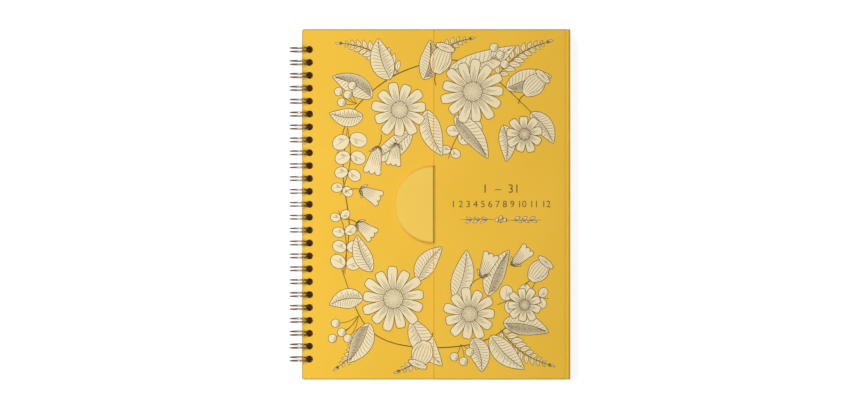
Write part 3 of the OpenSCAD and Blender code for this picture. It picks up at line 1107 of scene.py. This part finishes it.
# %% Garland layout
ARCHES = (
    (22 + 30j, 34 + 62j, 68 + 88j, 112 + 92j, 160 + 52j),
    (160 - 40j, 130 - 84j, 84 - 94j, 44 - 82j, 22 - 32j),
    (30 + 52j, 27 + 20j, 31 - 14j, 27 - 46j))
FERNS = (
    (64 + 86j, 24 + 106j, -5, 11, 12), (128 + 84j, 163 + 107j, 4, 10, 11),
    (86 + 92j, 112 + 109j, 4, 8, 9), (40 - 80j, 22 - 108j, 4, 8, 10),
    (130 - 82j, 164 - 106j, -4, 10, 11), (84 - 92j, 62 - 110j, 3, 7, 9))
LOWER_SPRIGS = (30 + 50j, 25 + 6j, 4, 4, 11), (128 - 66j, 162 - 62j, 3, 3, 10)
UPPER_SPRIGS = (28 - 46j, 24 - 4j, -3, 4, 10), (118 + 60j, 96 + 30j, -4, 3, 10)
LEAVES = (
    (58 + 82j, 50 + 109j, 15, 2), (46 + 70j, 20 + 84j, 14, -2), (40 + 58j, 18 + 60j, 12, 2),
    (96 + 88j, 140 + 104j, 15, -3), (134 + 76j, 164 + 84j, 14, 2), (150 + 60j, 165 + 40j, 12, 2),
    (82 + 62j, 92 + 32j, 14, -2), (100 + 58j, 122 + 30j, 13, 2), (72 + 48j, 44 + 28j, 13, 2),
    (132 + 52j, 134 + 28j, 11, 2), (80 + 82j, 84 + 108j, 13, -2), (46 - 44j, 36 - 20j, 12, 2),
    (40 - 62j, 18 - 66j, 13, -2), (44 - 78j, 30 - 104j, 14, 2), (76 - 50j, 92 - 28j, 13, 2),
    (100 - 62j, 108 - 30j, 14, -2), (122 - 60j, 136 - 30j, 13, 2), (72 - 76j, 92 - 106j, 15, -2),
    (112 - 88j, 118 - 110j, 13, 2), (132 - 78j, 162 - 84j, 14, 2), (124 - 86j, 146 - 108j, 14, -2))
PODS = (
    (88 + 78j, 88 + 86j, 94 + 103j, 14), (142 + 66j, 146 + 72j, 158 + 84j, 13),
    (86 - 84j, 82 - 90j, 76 - 105j, 14), (146 - 54j, 150 - 50j, 160 - 38j, 13))
BELLS = (
    (52 + 46j, 50 + 38j, 46 + 22j, 12), (60 + 44j, 62 + 40j, 60 + 27j, 10),
    (28 + 8j, 38 + 10j, 50 + 4j, 11), (28 - 10j, 36 - 12j, 46 - 20j, 11),
    (110 - 54j, 118 - 48j, 124 - 34j, 11), (136 - 40j, 138 - 40j, 148 - 30j, 10))
BERRIES = (
    (36 + 66j, (30 + 72j, 24 + 74j, 33 + 78j, 26 + 67j), 2.8),
    (124 + 96j, (130 + 98j, 133 + 92j, 126 + 103j), 2.8),
    (37 - 73j, (22 - 78j, 26 - 84j, 20 - 88j, 30 - 88j), 2.8),
    (104 - 92j, (100 - 100j, 106 - 103j, 110 - 97j), 2.8))
DAISIES = (
    (64 + 62j, 19, 11, 6), (112 + 74j, 22, 13, 0), (146 + 46j, 13, 9, 12),
    (60 - 62j, 22, 13, 8), (110 - 72j, 18, 11, 0), (146 - 66j, 12, 9, 20))


def draw_garland():
    """The wreath. Every third leaf is hatched closely."""
    drawing = Drawing()
    for arch in ARCHES:
        drawing.line(smooth_line(arch), 1.8, 0.4)
    drawing.side_by_side(draw_fern, FERNS)
    drawing.side_by_side(draw_coin_sprig, LOWER_SPRIGS)
    drawing.side_by_side(draw_coin_sprig, UPPER_SPRIGS)
    for n, leaf in enumerate(LEAVES):
        draw_leaf(drawing, *leaf, n % 3 == 1)
    drawing.side_by_side(draw_pod, PODS)
    for bell in BELLS:
        draw_bell(drawing, *bell)
    drawing.side_by_side(draw_berries, BERRIES)
    drawing.side_by_side(draw_daisy, DAISIES)
    return drawing


garland = draw_garland()
ink_height = round(LAYER * garland.layer / MM, 3)
print("garland:", len(garland.marks), "marks in", ink_height, "mm of ink")

# %% [markdown]
# ### Printing
# The garland is printed twice: on the front cover, and on the flap that lies over it, where the
# drawing runs on from one to the other. On the flap it stops at the flap's free edge and leaves a
# band clear for the label. The marks become triangles first, so that cutting them is safe.

# %% Print pieces
BAND_HALF = 25.0 * MM


def add_marks(bm, drawing, origin_x, height):
    """Lays a drawing's marks on a level plane, with the ink as the material index."""
    for ink, polygons, layer in drawing.marks:
        z = height + LAYER * layer + (PEN_LIFT if ink == PEN_INK else 0.0)
        for polygon in polygons:
            corners = [bm.verts.new((origin_x + point.real * MM, point.imag * MM, z))
                       for point in polygon]
            bm.faces.new(corners).material_index = ink
    bmesh.ops.triangulate(bm, faces=bm.faces[:], ngon_method="EAR_CLIP")


def lay_print(name, bm, ink, body):
    """A print in one light ink and the pen's ink, with all its faces turned up."""
    bm.normal_update()
    bmesh.ops.reverse_faces(bm, faces=[face for face in bm.faces if face.normal.z < 0])
    return lay_piece(name, bm, book, [ink, pen_finish], body)


def print_front():
    bm = bmesh.new()
    add_marks(bm, garland, front_lo.x, front_hi.z + PRINT_LIFT)
    return lay_print("front_print", bm, cream_finish, "front_cover")


def print_flap():
    """The part of the garland on the flap, above and below the label's band."""
    bm = bmesh.new()
    for up in (1, -1):
        half = bmesh.new()
        add_marks(half, garland, front_lo.x, flap_hi.z + PRINT_LIFT)
        cut(half, (free_edge + EDGE_ROUND, 0, 0), (-1, 0, 0), clear=True)
        cut(half, (flap_right - EDGE_ROUND, 0, 0), (1, 0, 0), clear=True)
        cut(half, (0, up * BAND_HALF, 0), (0, -up, 0), clear=True)
        mesh = bpy.data.meshes.new("half_print")
        half.to_mesh(mesh)
        half.free()
        bm.from_mesh(mesh)
        bpy.data.meshes.remove(mesh)
    return lay_print("flap_print", bm, cream_finish, "flap")


prints = [print_front(), print_flap()]
print("prints:", [(piece.name, len(piece.data.polygons)) for piece in prints])

# %% [markdown]
# ### The label's numbers
# The band on the flap is the book's label. It holds plain numbers only: the days of a month, and
# the months of a year over a small sprig. Blender's built-in font gives the outlines, as a text
# curve that becomes a flat mesh at once, because a curve can't be joined to the drawn marks.

# %% Label
LABEL_X = 130.6
LABEL_ROWS = (("1  –  31", 8.0, 7.6), ("1 2 3 4 5 6 7 8 9 10 11 12", 6.2, -1.9))
SPRIG_ROW = -10.2
SPRIG_REACH = (3, 27)
SPRIG_LEAVES = (9, 14, 19)
NUMBER_STEPS = 4


def number_mesh(body, size, align="CENTER", spacing=1.0):
    """A flat mesh of numbers, in metres, for a size in millimetres."""
    curve = bpy.data.curves.new("numbers", "FONT")
    curve.body = body
    curve.size = size * MM
    curve.align_x = align
    curve.space_line = spacing
    curve.resolution_u = NUMBER_STEPS
    return curve_mesh(curve)


def add_numbers(bm, mesh, x, y, z):
    """Adds a mesh of numbers to a print, with the pen's ink."""
    placed = mesh.copy()
    placed.transform(Matrix.Translation((x, y, z)))
    before = len(bm.faces)
    bm.from_mesh(placed)
    bm.faces.ensure_lookup_table()
    for face in bm.faces[before:]:
        face.material_index = PEN_INK
    bpy.data.meshes.remove(placed)


def draw_label_sprig(middle):
    """Two twigs with small leaves on both sides of three berries."""
    sprig = Drawing()
    for side in (-1, 1):
        start, stop = (middle + reach * side for reach in SPRIG_REACH)
        sprig.line(bowed(start, stop, -0.6, 16), 0.9, 0.3)
        for out in SPRIG_LEAVES:
            for shift, slant in ((0, 2.0j), (1, -1.8j)):
                base = middle + (out + shift) * side
                draw_leaflet(sprig, base, base + 3.6 * side + slant, 1.8)
    draw_berries(sprig, middle - 2j, (middle - 2.6, middle + 2.6, middle + 1.4j), 1.3)
    return sprig


def print_label():
    bm = bmesh.new()
    height = flap_hi.z + PRINT_LIFT
    add_marks(bm, draw_label_sprig(complex(LABEL_X, SPRIG_ROW)), front_lo.x, height)
    for text, size, row in LABEL_ROWS:
        add_numbers(bm, number_mesh(text, size), front_lo.x + LABEL_X * MM, row * MM, height)
    return lay_print("label_print", bm, cream_finish, "flap")


label = print_label()
print("label:", len(label.data.polygons), "faces,", round(label.dimensions.x / MM, 1), "mm wide")

# %% [markdown]
# ### The month leaves
# Each leaf is a page for one month of any year: its number, a small flower, and a ruled line for
# each of 31 days, with no weekdays. All leaves share the drawing and the day numbers, so these are
# made once and laid on each leaf at its own height.

# %% Month leaves
DAYS = 31
DAY_ROW = 6.2
DAY_SIZE = 3.8
DAY_RIGHT = 6.0
DAY_UP = 1.2
MONTH_SIZE = 17.0
MONTH_DROP = 0.75
PAGE_LEFT = 16.0
PAGE_RIGHT = 10.0
PAGE_HEAD = 12.0
RULE_SHARE = 0.55
BLOOM_INSET = 11 + 7j
LEAF_PRINT_LIFT = 0.01 * MM


def draw_page(width, height):
    """A page's rules and flower, from its lower left corner, in millimetres."""
    page = Drawing()
    first = height - PAGE_HEAD - MONTH_SIZE
    for day in range(DAYS):
        y = 1j * (first - DAY_ROW * (day + 1))
        page.line([PAGE_LEFT + y, width / 2 + y, width - PAGE_RIGHT + y], RULE_SHARE, 1.0)
    bloom = complex(width - PAGE_RIGHT, height - PAGE_HEAD) - BLOOM_INSET
    draw_leaf(page, bloom - 4, bloom - 26 - 3j, 9, 2)
    draw_leaf(page, bloom - 2 + 4j, bloom - 18 + 8j, 8, -2)
    draw_daisy(page, bloom, 9.5, 11, 4)
    return page, first


def print_leaves():
    low, high = span("month_leaf_01")
    page, first = draw_page((high.x - low.x) / MM, (high.y - low.y) / MM)
    column = "\n".join(str(day + 1) for day in range(DAYS))
    days = number_mesh(column, DAY_SIZE, "RIGHT", DAY_ROW / DAY_SIZE)
    pieces = []
    for month in range(1, 13):
        node = f"month_leaf_{month:02d}"
        low, high = span(node)
        top = high.z + LEAF_PRINT_LIFT
        left = low.x + PAGE_LEFT * MM
        bm = bmesh.new()
        add_marks(bm, page, 0.0, top)
        bmesh.ops.translate(bm, verts=bm.verts, vec=(low.x, low.y, 0))
        add_numbers(bm, days, left + DAY_RIGHT * MM, low.y + (first - DAY_ROW + DAY_UP) * MM, top)
        month_y = high.y - (PAGE_HEAD + MONTH_SIZE * MONTH_DROP) * MM
        add_numbers(bm, number_mesh(str(month), MONTH_SIZE, "LEFT"), left, month_y, top)
        pieces.append(lay_print(f"{node}_print", bm, gold_finish, node))
    return pieces


leaf_prints = print_leaves()
print("leaf prints:", len(leaf_prints), "of", len(leaf_prints[0].data.polygons), "faces")

# %% [markdown]
# ## Studio floor
# The photograph has a bright white ground. The floor is a pale surface that takes the object's
# shadow, and a glow that only the camera and mirrors see lifts it to white. A weaker glow stands
# for the light that a white table throws back onto upright sides. The glow is full far away, where
# the floor meets the world. Under the covers only a trace of warm light is left, which stands for
# what shines through the paper, so that the punched holes are dark brown.

# %% Floor
FLOOR_SIZE = 12.0
FLOOR_TONE = (0.22, 0.22, 0.22, 1.0)
FLOOR_ROUGH = 0.9
FLOOR_GLOW = 0.88
FLOOR_BOUNCE = 0.45
GLOW_NEAR = 0.3
GLOW_FAR = 1.2
HOLE_GLOW = 0.06
HOLE_TINT = (1.0, 0.28, 0.0, 1.0)
WHITE = (1.0, 1.0, 1.0, 1.0)


def straight_rays(tree):
    """A socket that is 1 for rays from the camera and mirrors, and all sockets that tell rays."""
    rays = add_node(tree, "LightPath")
    seen = math_node(tree, "MAXIMUM", rays["Is Camera Ray"], rays["Is Glossy Ray"])
    return math_node(tree, "MAXIMUM", seen, rays["Is Transmission Ray"]), rays


def floor_material():
    material = bpy.data.materials.new("floor")
    material.use_nodes = True
    tree = material.node_tree
    seen, rays = straight_rays(tree)
    spot = add_node(tree, "TexCoord")["Object"]
    distance = add_node(tree, "VectorMath", {0: spot}, operation="LENGTH")["Value"]
    white = map_range(tree, distance, GLOW_NEAR, GLOW_FAR, FLOOR_GLOW, 1.0)
    bounce = math_node(tree, "MULTIPLY", rays["Is Diffuse Ray"], FLOOR_BOUNCE)
    glow = math_node(tree, "ADD", math_node(tree, "MULTIPLY", seen, white), bounce)
    within = []
    ends = ((cover_left.x, cad_box[1][0]), (cad_box[0][1], cad_box[1][1]))
    for axis, (low, high) in zip(add_node(tree, "SeparateXYZ", {"Vector": spot}), ends):
        off = math_node(tree, "ABSOLUTE", math_node(tree, "SUBTRACT", axis, (low + high) / 2))
        within.append(math_node(tree, "LESS_THAN", off, (high - low) / 2))
    under = math_node(tree, "MULTIPLY", *within)
    glow = math_node(tree, "MULTIPLY", glow, math_node(tree, "SUBTRACT", 1.0, under))
    glow = math_node(tree, "ADD", glow, math_node(tree, "MULTIPLY", under, HOLE_GLOW))
    feed(tree, tree.nodes["Principled BSDF"].inputs, {
        "Base Color": FLOOR_TONE, "Roughness": FLOOR_ROUGH, "Emission Strength": glow,
        "Emission Color": mix_colour(tree, under, WHITE, HOLE_TINT)})
    return material


def make_floor():
    mesh = bpy.data.meshes.new("floor")
    half = FLOOR_SIZE / 2
    corners = [(-half, -half, 0), (half, -half, 0), (half, half, 0), (-half, half, 0)]
    mesh.from_pydata(corners, [], [(0, 1, 2, 3)])
    mesh.materials.append(floor_material())
    floor = add_object("floor", mesh)
    return floor


print("floor:", make_floor().name, "of", FLOOR_SIZE, "m")

# %% [markdown]
# ## Light
# The cover is a little brighter at the bound edge than at the fore edge, and the tab has its shade
# on the side towards the foot. So one soft lamp stands on the left, a small one stands far away
# beyond the head of the book, and the world adds a dim dome that is brightest at the top.

# %% World and lamps
ZENITH = 0.22
HORIZON = 0.12


def make_world():
    """Soft light that is brightest overhead. The camera and mirrors see plain white instead."""
    world = bpy.data.worlds.new("studio")
    world.use_nodes = True
    tree = world.node_tree
    way = add_node(tree, "TexCoord")["Generated"]
    height = add_node(tree, "SeparateXYZ", {"Vector": way})["Z"]
    dome = map_range(tree, height, 0.0, 1.0, HORIZON, ZENITH)
    light = math_node(tree, "MAXIMUM", dome, straight_rays(tree)[0])
    feed(tree, tree.nodes["Background"].inputs, {"Color": WHITE, "Strength": light})
    bpy.context.scene.world = world


def make_lamp(name, place, size, power):
    """A round lamp that shines on the middle of the book."""
    data = bpy.data.lights.new(name, "AREA")
    data.shape = "DISK"
    data.size = size
    data.energy = power
    lamp = add_object(name, data)
    lamp.location = place
    lamp.rotation_euler = (-Vector(place)).to_track_quat("-Z", "Y").to_euler()


make_world()
make_lamp("key", place=(-0.36, -0.09, 0.5), size=0.55, power=2.85)
make_lamp("head", place=(-0.45, 1.0, 1.25), size=0.22, power=8.6)
bpy.context.scene.view_settings.view_transform = "Standard"
print("lamps:", [lamp.name for lamp in bpy.data.lights])
